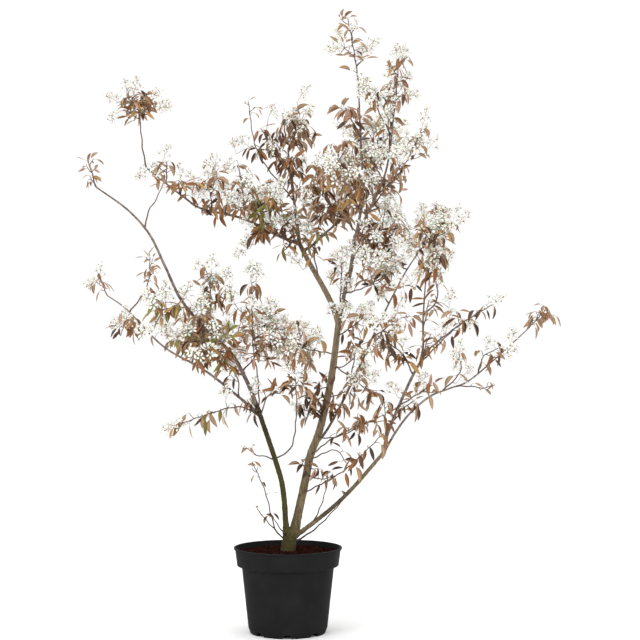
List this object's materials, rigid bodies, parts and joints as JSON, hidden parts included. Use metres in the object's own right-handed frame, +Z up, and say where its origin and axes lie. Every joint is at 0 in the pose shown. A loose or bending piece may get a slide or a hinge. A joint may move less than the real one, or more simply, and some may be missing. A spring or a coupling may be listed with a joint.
{
  "type": "potted serviceberry",
  "caption": "Young serviceberry in blossom: an open bush of several stems with coppery new leaves and white flowers, in a round black nursery pot.",
  "frame": {"origin": "centre of the pot's flat underside, on the surface that it stands on", "axes": "+Z up along the pot's axis, +X to the right and +Y away from a viewer at the picture's side"},
  "size_m": [1.2908, 0.811, 1.6246],
  "materials": {
    "pot": "matt black injection-moulded polypropylene, lightly worn",
    "soil": "damp dark potting mix with fine bark",
    "bark": "smooth grey-brown bark, greenish low down",
    "foliage": "coppery young leaves with white blossom on thin twigs"
  },
  "bodies": {
    "root": {"pot": "pot", "soil": "soil", "stump": "bark", "left_stem": "bark", "main_stem": "bark", "right_stem": "bark", "long_left_bough": "bark", "low_left_bough": "bark", "leader": "bark", "upper_left_fork": "bark", "upper_left_bough": "bark", "back_left_bough": "bark", "upper_right_bough": "bark", "right_slanting_bough": "bark", "right_bough": "bark", "right_upright": "bark", "long_right_bough": "bark", "leader_spray": "foliage", "leader_left_spray": "foliage", "leader_right_spray": "foliage", "upper_right_spray": "foliage", "upper_right_shoulder": "foliage", "crown_front": "foliage", "crown_back": "foliage", "crown_middle": "foliage", "top_left_spray": "foliage", "top_left_middle": "foliage", "top_left_outer": "foliage", "upper_left_front": "foliage", "upper_left_back": "foliage", "upper_left_middle": "foliage", "upper_left_end": "foliage", "far_left_tuft": "foliage", "long_left_end": "foliage", "left_small_tuft": "foliage", "low_left_end": "foliage", "low_left_spray": "foliage", "left_front": "foliage", "left_under": "foliage", "left_top": "foliage", "left_middle": "foliage", "left_inner": "foliage", "left_back": "foliage", "centre_left": "foliage", "centre_back": "foliage", "low_left_outer": "foliage", "right_back": "foliage", "right_top": "foliage", "mid_right": "foliage", "right_upright_spray": "foliage", "right_middle": "foliage", "right_inner": "foliage", "right_end": "foliage", "far_right_tuft": "foliage", "far_right_spray": "foliage", "right_low": "foliage", "low_centre": "foliage", "low_right": "foliage", "low_front": "foliage", "base_left": "foliage"}
  },
  "joints": []
}
